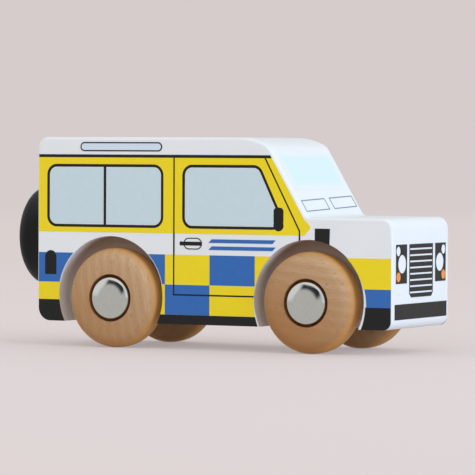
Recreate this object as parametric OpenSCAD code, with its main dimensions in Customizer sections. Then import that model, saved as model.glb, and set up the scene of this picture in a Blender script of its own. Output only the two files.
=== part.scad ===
// Toy police car: a painted wooden block body on beech wheels, steel axles and push-on hub caps.
// +X is forward, +Y is the car's left side, +Z is up. The floor is Z = 0. Sizes are in millimetres.

/* [Body] */
// Length of the block, front face to rear face
body_len = 119.3; // [105:0.1:135]
// Width of the block
body_w = 39.5; // [36:0.1:46]
// Height of the underside above the floor
ground_gap = 7.6; // [6:0.1:9]
// Height of the roof above the floor
roof_h = 63.4; // [61:0.1:70]
// Height of the bonnet above the floor
bonnet_h = 40; // [38:0.1:42]
// Distance from the front face back to the foot of the windscreen
bonnet_len = 27.8; // [26:0.1:32]
// Lean of the windscreen from the level, in degrees
windscreen_deg = 59; // [55:1:68]
// Round along the sides' upper edges
edge_r = 1; // [0.6:0.1:1.4]
// Round along the upright edges at the front and rear
upright_edge_r = 0.5; // [0.3:0.1:1.2]
// How much more the bonnet's side edges are rounded
bonnet_edge_extra = 0.3; // [0.1:0.1:0.8]
// Round where the roof meets the rear face
roof_rear_r = 3; // [2:0.1:5]
// Round where the roof runs down into the windscreen
roof_front_r = 10; // [5:0.1:12]
// Round where the bonnet meets the front face
nose_top_r = 3.3; // [2:0.1:5]
// Round at the lower front corner
nose_low_r = 2.9; // [2:0.1:4]
// Round at the lower rear corner
tail_low_r = 4.5; // [2:0.1:5.5]

/* [Wheels] */
// Diameter of a wheel
wheel_d = 30; // [27:0.1:32]
// Width of a wheel
wheel_w = 10; // [9:0.1:11.5]
// Round on both edges of a wheel
wheel_edge_r = 3.8; // [2:0.1:4.4]
// How far a wheel's face stands out from the body's side
wheel_proud = 2; // [1:0.1:3]
// Distance between the front and rear axles
wheel_base = 65.8; // [60:0.1:72]
// Distance from the front face back to the middle between the axles
axle_middle = 60; // [57:0.05:63]
// Gap between a wheel's back and the floor of its pocket
pocket_gap = 1; // [0.6:0.1:1.5]
// Gap between a wheel's rim and the wall of its pocket
arch_gap = 2.4; // [1.2:0.1:4]
// Round on the rim of the wheel pocket
arch_rim_r = 0.5; // [0.4:0.1:1.6]
// How far the front pockets' middle lies above the axle
front_pocket_up = 0.5; // [0:0.1:0.8]
// How far the rear pockets' middle lies above the axle
rear_pocket_up = 0.6; // [0:0.1:0.8]
// How far the rear pockets' middle lies behind the axle
rear_pocket_back = 0.8; // [0:0.1:0.8]
// Gap between a hub cap and the wall of the counterbore in the wheel's face
hub_recess_gap = 0.6; // [0.5:0.05:1.5]
// Depth of the counterbore in a wheel's face
hub_recess_depth = 3; // [2:0.1:4]

/* [Axles and hub caps] */
// Diameter of an axle rod
axle_d = 5; // [4:0.1:6]
// Running clearance around an axle, on the radius
axle_clearance = 0.08; // [0.03:0.01:0.1]
// Outside diameter of a hub cap
cap_d = 13; // [11.5:0.1:14]
// Height of a hub cap's straight rim
cap_rim_h = 1.8; // [0.8:0.1:2.6]
// Round of a hub cap's shoulder
cap_shoulder_r = 1.5; // [0.9:0.05:3.2]
// Radius of a hub cap's crown
cap_crown_r = 14.5; // [12:0.25:24]
// Sheet thickness of a hub cap
cap_wall = 0.5; // [0.3:0.05:0.8]
// Running gap between a hub cap and the wheel
cap_gap = 0.3; // [0.2:0.05:0.6]
// Thickness of the spring clip inside a hub cap
clip_t = 0.4; // [0.3:0.05:0.8]
// Number of teeth on the spring clip
clip_teeth = 6; // [4:1:8]
// Width of the slots between the teeth
clip_slot_w = 0.6; // [0.4:0.1:1]
// Width of the ring left outside the slots
clip_ring_w = 1; // [0.6:0.1:1.4]

/* [Spare wheel] */
// Diameter of the spare wheel
spare_d = 31; // [26:0.1:33]
// Thickness of the spare wheel
spare_w = 10.9; // [9:0.1:12]
// Round on the spare wheel's outer edge
spare_edge_r = 4.2; // [2:0.1:6]
// Round on the spare wheel's edge next to the body
spare_back_r = 2; // [1:0.1:3.5]
// Height of the spare wheel's centre above the floor
spare_z = 33; // [31:0.1:36]
// Diameter of the dowel that holds the spare wheel
dowel_d = 8; // [5:0.1:10]
// Length of the dowel on each side of the joint
dowel_reach = 7.5; // [5:0.1:8]
// Glue gap around the dowel and at its ends
glue_gap = 0.05; // [0.02:0.01:0.1]

/* [Side print] */
// Thickness of the print, drawn thicker than real ink so that it is a solid
film_t = 0.08; // [0.05:0.01:0.2]
// Gap between neighbouring colours in the check pattern
check_gap = 0.08; // [0.04:0.01:0.3]
// Drop from the roof to the middle of the black roof line
roof_line_drop = 5.7; // [4.5:0.1:6.5]
// Thickness of the black roof line
roof_line_t = 0.9; // [0.5:0.1:1.4]
// Height of the yellow window band's lower edge above the underside
belt_h = 27.1; // [26:0.1:28.4]
// Distance of the yellow band's front tip behind the windscreen's line
tip_back = 0.4; // [0:0.1:1.2]
// Slant of the yellow band's front end below its tip
tip_slant = 1.9; // [0.6:0.1:3]
// Height of the yellow window band, up to the middle of the roof line
window_band_h = 23; // [21:0.1:25]
// Height of the top of the checks above the underside
check_top_h = 20.8; // [18.4:0.1:22.4]
// Height of one row of checks
check_h = 9; // [8:0.1:9.5]
// Length of one check
check_l = 15.1; // [12:0.1:18]
// Distance from the windscreen's foot back to a joint between two checks
check_back = 32.1; // [26:0.1:36]
// How far the blue print stops short of a wheel pocket's rim
blue_trap = 0.3; // [0.25:0.05:0.6]
// How much wider than a front pocket's mouth the unprinted ring around it is, on the radius
clear_gap = 0.35; // [0.2:0.05:0.8]
// How far that ring's middle lies in front of the pocket's
clear_lead = 0.2; // [0:0.1:0.6]
// How far that ring's middle lies below the pocket's
clear_drop = 0.9; // [0:0.1:1]
// Height of the black bumper blocks' upper edge above the underside
side_bumper_h = 6.5; // [4.4:0.1:8.4]
// Thickness of the thin door lines
door_line_t = 0.5; // [0.3:0.05:0.8]
// Distance from the windscreen's foot back to the door's rear line
door_l = 44.2; // [40:0.1:48]
// Height of the door's lower line above the underside
door_low_h = 8.8; // [6.4:0.1:10.4]
// Distance from the yellow's edge along the windscreen back to the top of the door's slanted line
pillar_w = 1.8; // [1:0.1:3]
// Distance from the windscreen's foot back to the door's short front line
door_front = 2.3; // [0.5:0.1:5]
// Height of the bend in the door's front line above the belt
door_bend_rise = 1.3; // [0.5:0.1:3]

/* [Windows] */
// Thickness of the window frames
frame_t = 0.85; // [0.5:0.05:1.2]
// Corner round of the window frames
frame_r = 3.3; // [1.8:0.1:4.5]
// Gap between a window frame and its pane
pane_gap = 0.25; // [0.1:0.05:0.5]
// Gap between the roof line and the window frames
window_drop = 2; // [1:0.1:3]
// Gap between the belt and the window frames
window_rise = 1.5; // [0.5:0.1:2.5]
// Length of the rear window
rear_window_l = 40.3; // [36:0.1:44]
// Distance from the rear face to the rear window
rear_window_inset = 3.4; // [2:0.1:6]
// Gap between the door's rear line and the rear window
rear_window_gap = 3.6; // [2:0.1:5]
// Gap between the door's rear line and the door window
door_window_gap = 2.8; // [1.5:0.1:5]
// Gap between the door's slanted line and the top of the door window, on the level
door_window_lead = 3; // [1.5:0.1:5]
// How much steeper than the windscreen the door window's front edge stands, in degrees
door_window_steep = 5; // [0:0.5:8]
// Width of the printed door mirror
mirror_w = 3.3; // [2:0.1:4]
// Height of the printed door mirror
mirror_h = 7; // [5:0.1:9]
// Radius of the mirror's lower bulge
mirror_bulge_r = 1.7; // [1.2:0.05:2.2]
// Corner round of the mirror's upper part
mirror_r = 1.2; // [0.5:0.05:1.5]
// Distance from the windscreen's foot back to the mirror's middle
mirror_back = 9.2; // [7:0.1:11]
// How far the mirror hangs below the window frame
mirror_drop = 0.4; // [0:0.1:1]

/* [Side details] */
// Length of the door handle's bar
handle_l = 7.5; // [5:0.1:10]
// Thickness of the door handle's bar
handle_t = 1.15; // [0.7:0.05:1.6]
// Length of the ring behind the handle
handle_ring_l = 6.2; // [4.5:0.1:8]
// Height of the ring behind the handle
handle_ring_h = 3.5; // [2.5:0.1:4.5]
// Line thickness of that ring
ring_line_t = 0.3; // [0.2:0.05:0.6]
// Gap between the door's rear line and the handle's bar
handle_gap = 2; // [0.8:0.1:4]
// How far the handle lies above the middle of the white band
handle_up = 0.2; // [0:0.1:0.6]
// Length of the blue stripes on the door
stripe_l = 22.4; // [14:0.1:24]
// Thickness of each blue stripe
stripe_t = 1.1; // [0.6:0.1:1.5]
// Gap between the blue stripes
stripe_gap = 1; // [0.5:0.1:1.4]
// Gap between the handle and the blue stripes
stripe_lead = 2.2; // [1:0.1:4]
// Width of the black wing vent
vent_w = 4.9; // [3:0.1:6]
// How much the wing vent narrows on its front side
vent_taper = 0.6; // [0:0.1:1.2]
// Distance from the windscreen's foot forward to the wing vent's front edge
vent_lead = 7.6; // [5:0.1:10]
// Gap between the bonnet and the wing vent
vent_drop = 3.2; // [2:0.1:4]
// Width of the black rear side lamp
side_lamp_w = 4; // [3:0.1:5]
// Height of the black rear side lamp
side_lamp_h = 7.3; // [5:0.1:9]
// Distance from the rear face to the rear side lamp
side_lamp_inset = 2.7; // [1.6:0.1:3.4]
// How far the rear side lamp stands above the checks
side_lamp_rise = 0.6; // [0:0.1:2]
// Length of the roof strip
roof_strip_l = 28.2; // [18:0.1:34]
// Height of the roof strip
roof_strip_h = 2.8; // [2:0.1:3.4]
// Line thickness of the roof strip's outline
roof_strip_line_t = 0.4; // [0.25:0.05:0.6]
// Distance from the rear face to the roof strip
roof_strip_inset = 15; // [10:0.1:24]
// Gap between the roof line and the roof strip
roof_strip_rise = 0.95; // [0.6:0.05:1.2]

/* [Front and rear print] */
// Width of the black bumper bar
bumper_w = 36.5; // [30:0.1:37]
// Height of the black bumper bar
bumper_h = 4.5; // [3:0.1:6]
// Height of the bumper bar's lower edge above the underside
bumper_rise = 2.9; // [2.9:0.1:4]
// Width of the grille
grille_w = 16.5; // [12:0.1:18]
// Height of the grille
grille_h = 15.6; // [12:0.1:17]
// Gap between the bumper bar and the grille
grille_rise = 1.8; // [0.8:0.1:3]
// Drop from the bonnet to the grille's top
grille_drop = 7.6; // [6:0.1:9]
// Chamfer at the grille's lower corners
grille_chamfer = 1.2; // [0.6:0.1:2]
// Number of pale bars across the grille
grille_bars = 8; // [4:1:10]
// Thickness of a pale bar
grille_bar_t = 0.5; // [0.3:0.05:0.7]
// Distance from the grille's top or lower edge to the nearest pale bar's middle
grille_end = 1.45; // [0.8:0.05:2]
// Black border beside the pale bars
grille_border = 0.45; // [0.3:0.05:1]
// Width of a black lamp panel
panel_w = 7.5; // [6.4:0.1:8]
// Height of a black lamp panel
panel_h = 11.4; // [10.5:0.1:13]
// Gap between the grille and a lamp panel
panel_gap = 1.7; // [0.8:0.1:2]
// Gap between a lamp panel and the body's side
panel_margin = 2.3; // [1.6:0.1:4]
// Radius of a headlamp
headlamp_r = 2.7; // [2:0.05:2.9]
// Distance from a lamp panel's inner edge to the headlamp's middle
headlamp_inset = 3.3; // [3:0.05:3.8]
// Radius of the small lamp above a headlamp
small_lamp_r = 1.4; // [0.9:0.05:1.5]
// Distance from a lamp panel's outer edge to the small lamps' middles
small_lamp_inset = 1.65; // [1.6:0.05:2]
// Distance from a lamp panel's top or bottom edge to the small lamps' middles
small_lamp_margin = 1.95; // [1.6:0.05:2.2]
// Radius of a red rear lamp
rear_lamp_r = 1.6; // [1:0.05:2.4]
// Distance from the body's side to a red rear lamp's middle
rear_lamp_inset = 4; // [3.4:0.1:5]
// Gap between the bumper bar and a red rear lamp's middle
rear_lamp_rise = 4.2; // [3:0.1:6]

/* [Windscreen print] */
// Width of the pale windscreen panel
screen_w = 35; // [24:0.1:36]
// Height of the pale windscreen panel, along the slope
screen_h = 12.3; // [7:0.1:13]
// Distance from the pale windscreen panel up to the roof's level, along the slope
screen_drop = 5.7; // [5:0.1:8]
// Corner round of the pale windscreen panel
screen_r = 1.5; // [0.5:0.1:3]
// Width of an air flap's outline
flap_w = 16; // [12:0.1:16.6]
// Height of an air flap's outline, along the slope
flap_h = 3.9; // [2.5:0.1:5]
// Line thickness of an air flap's outline
flap_line_t = 0.3; // [0.2:0.05:0.5]
// Gap between the two air flaps
flap_gap = 3.2; // [2:0.1:4]
// Distance from the windscreen's foot up to the air flaps
flap_rise = 2.5; // [1.5:0.1:4]
// Tilt of the air flaps' print, in degrees
flap_tilt = 2; // [0:0.5:3]
// Gap between the air flaps and the pale panel
screen_rise = 2.9; // [2:0.1:5]

/* [Hidden] */
$fn = 96;
cut = 5;
eps = 0.01;

overall_len = body_len + spare_w;
front_x = overall_len / 2;
rear_x = front_x - body_len;
front_axle_x = front_x - axle_middle + wheel_base / 2;
rear_axle_x = front_axle_x - wheel_base;
side_y = body_w / 2;
screen_foot = [front_x - bonnet_len, bonnet_h];

wheel_r = wheel_d / 2;
axle_z = wheel_r;
axle_r = axle_d / 2;
wheel_face = side_y + wheel_proud;
wheel_back = wheel_face - wheel_w;
pocket_floor = wheel_back - pocket_gap;
arch_r = wheel_r + arch_gap;
arch_mouth_r = arch_r + arch_rim_r;
front_pocket = [front_axle_x, axle_z + front_pocket_up];
rear_pocket = [rear_axle_x - rear_pocket_back, axle_z + rear_pocket_up];
cap_seat = wheel_face - hub_recess_depth + cap_gap;
cap_r = cap_d / 2;
hub_recess_r = cap_r + hub_recess_gap;
cap_shoulder = [cap_r - cap_shoulder_r, cap_rim_h];
cap_crown_drop = sqrt(pow(cap_crown_r - cap_shoulder_r, 2) - pow(cap_shoulder.x, 2));
cap_crown = [0, cap_rim_h - cap_crown_drop];
cap_h = cap_crown.y + cap_crown_r;
cap_blend = 0.01;
axle_tip_gap = 0.6;
axle_half = cap_seat + cap_h - cap_wall - axle_tip_gap;

// The artwork is fitted to the block in whole percents: these are 1 where its sizes add up to the block's
function fit(room, art) = round(100 * room / art) / 100;
side_fit = fit(roof_h - roof_line_drop - ground_gap, belt_h + window_band_h);
cab_fit = fit(body_len - bonnet_len, door_l + rear_window_gap + rear_window_l + rear_window_inset);
front_fit = fit(side_y, grille_w / 2 + panel_gap + panel_w + panel_margin);
face_fit = fit(bonnet_h - ground_gap, bumper_rise + bumper_h + grille_rise + grille_h + grille_drop);
lamp_fit = min(front_fit, face_fit);
slope_len = (roof_h - bonnet_h) / sin(windscreen_deg);
slope_fit = fit(slope_len, flap_rise + flap_h + screen_rise + screen_h + screen_drop);

roof_line_z = roof_h - roof_line_drop;
window_top = roof_line_z - roof_line_t / 2 - window_drop;
belt_z = ground_gap + side_fit * belt_h;
window_low = belt_z + window_rise;
check_top_z = ground_gap + side_fit * check_top_h;
check_row_h = side_fit * check_h;
check_column_l = cab_fit * check_l;
check_x = screen_foot.x - cab_fit * check_back;
sill_z = check_top_z - 2 * check_row_h;
side_bumper_z = ground_gap + side_fit * side_bumper_h;
band_mid_z = (belt_z + check_top_z) / 2;
door_x = screen_foot.x - cab_fit * door_l;
door_front_x = screen_foot.x - cab_fit * door_front;
door_low_z = ground_gap + side_fit * door_low_h;
handle_x = door_x + handle_gap;

bumper_half = front_fit * bumper_w / 2;
bumper_low = ground_gap + face_fit * bumper_rise;
bumper_high = bumper_low + face_fit * bumper_h;
grille_half = front_fit * grille_w / 2;
grille_low = bumper_high + face_fit * grille_rise;
grille_high = grille_low + face_fit * grille_h;
panel_in = grille_half + front_fit * panel_gap;
panel_out = panel_in + front_fit * panel_w;
panel_half_h = face_fit * panel_h / 2;
panel_mid_z = grille_high - panel_half_h;
headlamp_mid = [panel_in + front_fit * headlamp_inset, panel_mid_z];
small_lamp_y = panel_out - front_fit * small_lamp_inset;
small_lamp_dz = panel_half_h - face_fit * small_lamp_margin;

yellow = "#e8cf2c";
blue = "#2f66b0";
ink_black = "#242226";
glass_blue = "#bcd2d9";
paint_white = "#e6eaec";
beech = "#c69c72";
steel = "#b9bcc0";
spare_black = "#26282c";

ENDS = [["front", front_axle_x], ["rear", rear_axle_x]];

// Plane geometry

function unit(v) = v / norm(v);

// Half of the angle at p between the ways to its two neighbours
function half_angle(p, before, after) = acos(unit(before - p) * unit(after - p)) / 2;

// The point at distance r from both edges that meet at a convex corner p
function corner_centre(p, before, after, r) =
    p + unit(unit(before - p) + unit(after - p)) * r / sin(half_angle(p, before, after));

// A convex outline moved inwards by d
function inset_points(points, d) =
    let (n = len(points))
    [for (i = [0 : n - 1]) corner_centre(points[i], points[(i + n - 1) % n], points[(i + 1) % n], d)];

// Where a round of radius r leaves the edge from a corner p to its neighbour
function round_end(p, neighbour, other, r) =
    p + unit(neighbour - p) * r / tan(half_angle(p, neighbour, other));

// The segment of a circle that a round leaves beyond the chord across a convex corner
module corner_segment(p, before, after, r) {
    out = unit(p - corner_centre(p, before, after, r)) * r;
    start = round_end(p, before, after, r);
    end = round_end(p, after, before, r);
    intersection() {
        translate(corner_centre(p, before, after, r)) circle(r);
        polygon([start, end, end + out, start + out]);
    }
}

// A polygon whose convex corners are rounded, each by its own radius
module rounded_polygon(points, radii) {
    n = len(points);
    polygon([
        for (i = [0 : n - 1])
            let (p = points[i], before = points[(i + n - 1) % n], after = points[(i + 1) % n], r = radii[i])
                each r > 0 ? [round_end(p, before, after, r), round_end(p, after, before, r)] : [p]
    ]);
    for (i = [0 : n - 1])
        if (radii[i] > 0)
            corner_segment(points[i], points[(i + n - 1) % n], points[(i + 1) % n], radii[i]);
}

function box_points(low, high) = [low, [high.x, low.y], high, [low.x, high.y]];

module rounded_box(low, high, r) {
    rounded_polygon(box_points(low, high), [r, r, r, r]);
}

module plain_box(low, high) {
    translate(low) square(high - low);
}

// A bar with round ends
module pill(low, high) {
    r = (high.y - low.y) / 2;
    plain_box([low.x + r, low.y], [high.x - r, high.y]);
    translate([low.x + r, low.y + r]) circle(r);
    translate([high.x - r, low.y + r]) circle(r);
}

// A straight stroke of thickness t between two points
module stroke(from, to, t) {
    across = [from.y - to.y, to.x - from.x] / norm(to - from) * t / 2;
    polygon([from + across, from - across, to - across, to + across]);
}

// The windscreen's edge at height z, moved back by inset
function screen_x(z, inset) =
    screen_foot.x - (z - bonnet_h) / tan(windscreen_deg) - inset / sin(windscreen_deg);

// Side view of the block, with the top moved in by inset and the ends by end_inset
module body_outline(inset, end_inset) {
    roof = roof_h - inset;
    bonnet = bonnet_h - inset;
    rounded_polygon(
        [
            [rear_x + end_inset, ground_gap],
            [front_x - end_inset, ground_gap],
            [front_x - end_inset, bonnet],
            [screen_x(bonnet, inset), bonnet],
            [screen_x(roof, inset), roof],
            [rear_x + end_inset, roof]
        ],
        [
            tail_low_r - end_inset, nose_low_r - end_inset, nose_top_r - inset,
            0, roof_front_r - inset, roof_rear_r - inset
        ]
    );
}

// Placing

// The child's +Z points outwards at a point [x, z] of the side: side is -1 for right and 1 for left
module outwards(point, side) {
    mirror([0, side > 0 ? 1 : 0, 0])
        translate([point.x, 0, point.y])
            rotate([90, 0, 0])
                children();
}

module on_axle(x, side) {
    outwards([x, axle_z], side) children();
}

// A print on the body's side, drawn in X and Z
module on_side(side) {
    mirror([0, side > 0 ? 1 : 0, 0])
        translate([0, -side_y, 0])
            rotate([90, 0, 0])
                linear_extrude(film_t)
                    children();
}

// A print on the front face, drawn in Y and Z
module on_front() {
    translate([front_x, 0, 0])
        rotate([90, 0, 90])
            linear_extrude(film_t)
                children();
}

// A print on the rear face, drawn in Y and Z
module on_rear() {
    translate([rear_x, 0, 0])
        mirror([1, 0, 0])
            rotate([90, 0, 90])
                linear_extrude(film_t)
                    children();
}

// Shapes on the windscreen's slope, with +Z out of the glass
module on_screen() {
    translate([screen_foot.x, 0, screen_foot.y])
        rotate([0, windscreen_deg, 0])
            children();
}

// Body

// A long bar along X with its upper edges rounded and its top at Z = 0
module round_topped_bar(r) {
    reach = 2 * overall_len;
    translate([-reach / 2, 0, 0])
        rotate([90, 0, 90])
            linear_extrude(reach)
                rounded_box([-side_y, -reach], [side_y, 0], r);
}

// The block as seen from the side and from above
module block_blank() {
    intersection() {
        translate([0, side_y + cut, 0])
            rotate([90, 0, 0])
                linear_extrude(body_w + 2 * cut)
                    body_outline(0, 0);
        linear_extrude(roof_h + cut)
            rounded_box([rear_x, -side_y], [front_x, side_y], upright_edge_r);
    }
}

// What a router takes out of the side for one wheel, along the pocket's axis
module wheel_pocket() {
    depth = side_y - pocket_floor;
    translate([0, 0, pocket_floor])
        rotate_extrude() {
            square([arch_r, depth + cut]);
            difference() {
                translate([arch_r - eps, depth - arch_rim_r]) square([arch_rim_r + eps, arch_rim_r]);
                translate([arch_mouth_r, depth - arch_rim_r]) circle(arch_rim_r);
            }
            translate([0, depth]) square([arch_mouth_r, cut]);
        }
}

module body_block() {
    color(paint_white)
        difference() {
            union() {
                intersection() {
                    block_blank();
                    translate([0, 0, roof_h]) round_topped_bar(edge_r);
                    on_screen() round_topped_bar(edge_r);
                }
                intersection() {
                    block_blank();
                    translate([0, 0, bonnet_h]) round_topped_bar(edge_r + bonnet_edge_extra);
                }
            }
            for (end = ENDS)
                translate([end[1], 0, axle_z])
                    rotate([90, 0, 0])
                        cylinder(h = body_w + 2 * cut, r = axle_r + axle_clearance, center = true);
            for (point = [front_pocket, rear_pocket])
                for (side = [-1, 1])
                    outwards(point, side) wheel_pocket();
            translate([rear_x - cut, 0, spare_z])
                rotate([0, 90, 0])
                    cylinder(h = dowel_reach + glue_gap + cut, r = dowel_d / 2 + glue_gap);
        }
}

// Running gear

module axle(x) {
    color(steel)
        translate([x, 0, axle_z])
            rotate([90, 0, 0])
                cylinder(h = 2 * axle_half, r = axle_r, center = true);
}

module wheel(x, side) {
    color(beech)
        on_axle(x, side)
            translate([0, 0, wheel_back])
                rotate_extrude()
                    difference() {
                        rounded_polygon(
                            box_points([axle_r + axle_clearance, 0], [wheel_r, wheel_w]),
                            [0, wheel_edge_r, wheel_edge_r, 0]
                        );
                        translate([0, wheel_w - hub_recess_depth])
                            square([hub_recess_r, hub_recess_depth + cut]);
                    }
}

// Half section of a hub cap's outer or inner surface, moved in by inset. The crown lies a hair inside
// the shoulder's round, so that the two arcs cross instead of only touching
module cap_section(inset) {
    past_shoulder = cap_crown + 2 * (cap_shoulder - cap_crown);
    intersection() {
        square([cap_r - inset, cap_h]);
        union() {
            square([cap_r - inset, cap_rim_h]);
            translate(cap_shoulder) circle(cap_shoulder_r - inset);
            intersection() {
                translate(cap_crown) circle(cap_crown_r - inset - cap_blend);
                polygon([cap_crown, past_shoulder, [0, past_shoulder.y]]);
            }
        }
    }
}

module hub_cap(x, side) {
    color(steel)
        on_axle(x, side)
            translate([0, 0, cap_seat])
                rotate_extrude()
                    difference() {
                        cap_section(0);
                        cap_section(cap_wall);
                    }
}

// Toothed spring washer that grips the axle inside the hub cap
module axle_clip(x, side) {
    clip_r = cap_r - cap_wall;
    slot_end = clip_r - clip_ring_w;
    color(steel)
        on_axle(x, side)
            translate([0, 0, cap_seat])
                difference() {
                    cylinder(h = clip_t, r = clip_r);
                    translate([0, 0, -cut]) cylinder(h = clip_t + 2 * cut, r = axle_r);
                    for (i = [0 : clip_teeth - 1])
                        rotate([0, 0, i * 360 / clip_teeth])
                            translate([0, -clip_slot_w / 2, -cut])
                                cube([slot_end, clip_slot_w, clip_t + 2 * cut]);
                }
}

// Spare wheel

module spare_wheel() {
    color(spare_black)
        translate([rear_x, 0, spare_z])
            rotate([0, -90, 0])
                difference() {
                    rotate_extrude()
                        rounded_polygon(
                            box_points([0, 0], [spare_d / 2, spare_w]),
                            [0, spare_back_r, spare_edge_r, 0]
                        );
                    translate([0, 0, -cut])
                        cylinder(h = dowel_reach + glue_gap + cut, r = dowel_d / 2 + glue_gap);
                }
}

module spare_wheel_dowel() {
    color(beech)
        translate([rear_x, 0, spare_z])
            rotate([0, 90, 0])
                cylinder(h = 2 * dowel_reach, r = dowel_d / 2, center = true);
}

// Side print

// The flat of the side that can take print, without its edge rounds and with the pockets' rims widened
module printable_side(widen) {
    difference() {
        body_outline(edge_r, upright_edge_r);
        for (point = [front_pocket, rear_pocket])
            translate(point) circle(arch_mouth_r + widen);
        translate(front_pocket + [clear_lead, -clear_drop]) circle(arch_mouth_r + clear_gap + widen);
    }
}

rear_window_points = box_points(
    [rear_x + cab_fit * rear_window_inset, window_low],
    [door_x - cab_fit * rear_window_gap, window_top]
);
function door_window_x(z) =
    screen_x(window_top, edge_r + pillar_w) - door_window_lead
    + (window_top - z) / tan(windscreen_deg + door_window_steep);
door_window_points = [
    [door_x + door_window_gap, window_low],
    [door_window_x(window_low), window_low],
    [door_window_x(window_top), window_top],
    [door_x + door_window_gap, window_top]
];
window_divide_x = (rear_window_points[0].x + rear_window_points[1].x) / 2;

// Both windows as seen from the frames' outside, moved in by inset
module window_shapes(inset) {
    r = frame_r - inset;
    for (points = [rear_window_points, door_window_points])
        rounded_polygon(inset_points(points, inset), [r, r, r, r]);
}

// The openings in the frames, each moved in by gap
module window_panes(gap) {
    bar = frame_t + 2 * gap;
    difference() {
        window_shapes(frame_t + gap);
        translate([window_divide_x - bar / 2, 0]) square([bar, roof_h]);
    }
}

module mirror_shape() {
    x = screen_foot.x - cab_fit * mirror_back;
    low = window_low - mirror_drop;
    translate([x, low + mirror_bulge_r]) circle(mirror_bulge_r);
    rounded_box(
        [x - mirror_w / 2, low + mirror_bulge_r],
        [x + mirror_w / 2, low + mirror_h],
        min(mirror_r, mirror_w / 2 - eps)
    );
}

module window_frames() {
    difference() {
        window_shapes(0);
        window_panes(0);
    }
    mirror_shape();
}

module door_lines() {
    slant_top = [screen_x(roof_line_z, edge_r + pillar_w), roof_line_z];
    slant_low = [door_front_x, belt_z + door_bend_rise];
    stroke([door_x, roof_line_z], [door_x, door_low_z - door_line_t / 2], door_line_t);
    stroke([door_x, door_low_z], [front_axle_x, door_low_z], door_line_t);
    stroke(slant_top, slant_low, door_line_t);
    translate(slant_low) circle(door_line_t / 2);
    stroke(slant_low, [door_front_x, axle_z], door_line_t);
}

module handle() {
    mid = [handle_x + handle_l - handle_ring_l / 2, band_mid_z + handle_up];
    half = [handle_ring_l, handle_ring_h] / 2;
    line = [ring_line_t, ring_line_t];
    difference() {
        pill(mid - half, mid + half);
        pill(mid - half + line, mid + half - line);
    }
    plain_box([handle_x, mid.y - handle_t / 2], [handle_x + handle_l, mid.y + handle_t / 2]);
}

module wing_vent() {
    top = bonnet_h - vent_drop;
    x = screen_foot.x + vent_lead;
    polygon([[x - vent_w, axle_z], [x - vent_taper, axle_z], [x, top], [x - vent_w, top]]);
}

module side_lamp() {
    x = rear_x + side_lamp_inset;
    top = check_top_z + side_lamp_rise;
    r = side_lamp_w / 2;
    plain_box([x, top - side_lamp_h], [x + side_lamp_w, top - r]);
    translate([x + r, top - r]) circle(r);
}

roof_strip_low = [rear_x + cab_fit * roof_strip_inset, roof_line_z + roof_line_t / 2 + roof_strip_rise];
roof_strip_high = roof_strip_low + [cab_fit * roof_strip_l, roof_strip_h];

module roof_strip_fill() {
    line = [roof_strip_line_t, roof_strip_line_t];
    pill(roof_strip_low + line, roof_strip_high - line);
}

module side_bumpers() {
    plain_box([rear_x, 0], [rear_axle_x, side_bumper_z]);
    plain_box([rear_axle_x, 0], [front_axle_x, sill_z]);
    plain_box([front_axle_x, 0], [front_x, side_bumper_z]);
}

module black_side_art() {
    intersection() {
        printable_side(0);
        union() {
            plain_box(
                [rear_x, roof_line_z - roof_line_t / 2],
                [front_x, roof_line_z + roof_line_t / 2]
            );
            window_frames();
            door_lines();
            handle();
            wing_vent();
            side_lamp();
            side_bumpers();
            difference() {
                pill(roof_strip_low, roof_strip_high);
                roof_strip_fill();
            }
        }
    }
}

module glass_side_art() {
    difference() {
        window_panes(pane_gap);
        mirror_shape();
    }
    roof_strip_fill();
}

// Checks of one colour: odd is 0 or 1
module checks(odd) {
    reach = ceil(body_len / check_column_l);
    for (column = [-reach : reach])
        for (row = [0, 1])
            if (abs(column + row) % 2 == odd) {
                x = check_x + column * check_column_l;
                z = check_top_z - (row + 1) * check_row_h;
                plain_box(
                    [x + check_gap / 2, z + check_gap / 2],
                    [x + check_column_l - check_gap / 2, z + check_row_h - check_gap / 2]
                );
            }
}

// The yellow band's front end, along the windscreen and down to a point on the wing
module yellow_band() {
    tip_z = belt_z + (bonnet_h - belt_z) / 2;
    tip_x = screen_x(tip_z, 0) - tip_back;
    polygon([
        [rear_x, belt_z],
        [tip_x - tip_slant, belt_z],
        [tip_x, tip_z - edge_r / 2],
        [tip_x, tip_z],
        [screen_x(bonnet_h, edge_r), bonnet_h],
        [screen_x(roof_line_z, edge_r), roof_line_z],
        [rear_x, roof_line_z]
    ]);
}

module yellow_side_art() {
    difference() {
        intersection() {
            printable_side(0);
            union() {
                yellow_band();
                checks(1);
            }
        }
        black_side_art();
        window_shapes(0);
    }
}

module blue_side_art() {
    stripes_x = handle_x + handle_l + stripe_lead;
    stripes_end = stripes_x + cab_fit * stripe_l;
    difference() {
        intersection() {
            printable_side(blue_trap);
            union() {
                checks(0);
                for (up = [-1, 1]) {
                    z = band_mid_z + up * (stripe_gap + stripe_t) / 2;
                    polygon([
                        [stripes_x, z - stripe_t / 2],
                        [stripes_end - stripe_t, z - stripe_t / 2],
                        [stripes_end, z + stripe_t / 2],
                        [stripes_x + stripe_t, z + stripe_t / 2]
                    ]);
                }
            }
        }
        black_side_art();
    }
}

module yellow_print(side) { color(yellow) on_side(side) yellow_side_art(); }

module blue_print(side) { color(blue) on_side(side) blue_side_art(); }

module black_print(side) { color(ink_black) on_side(side) black_side_art(); }

module window_print(side) { color(glass_blue) on_side(side) glass_side_art(); }

// Front, windscreen and rear print

module bumper_bar() {
    plain_box([-bumper_half, bumper_low], [bumper_half, bumper_high]);
}

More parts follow.
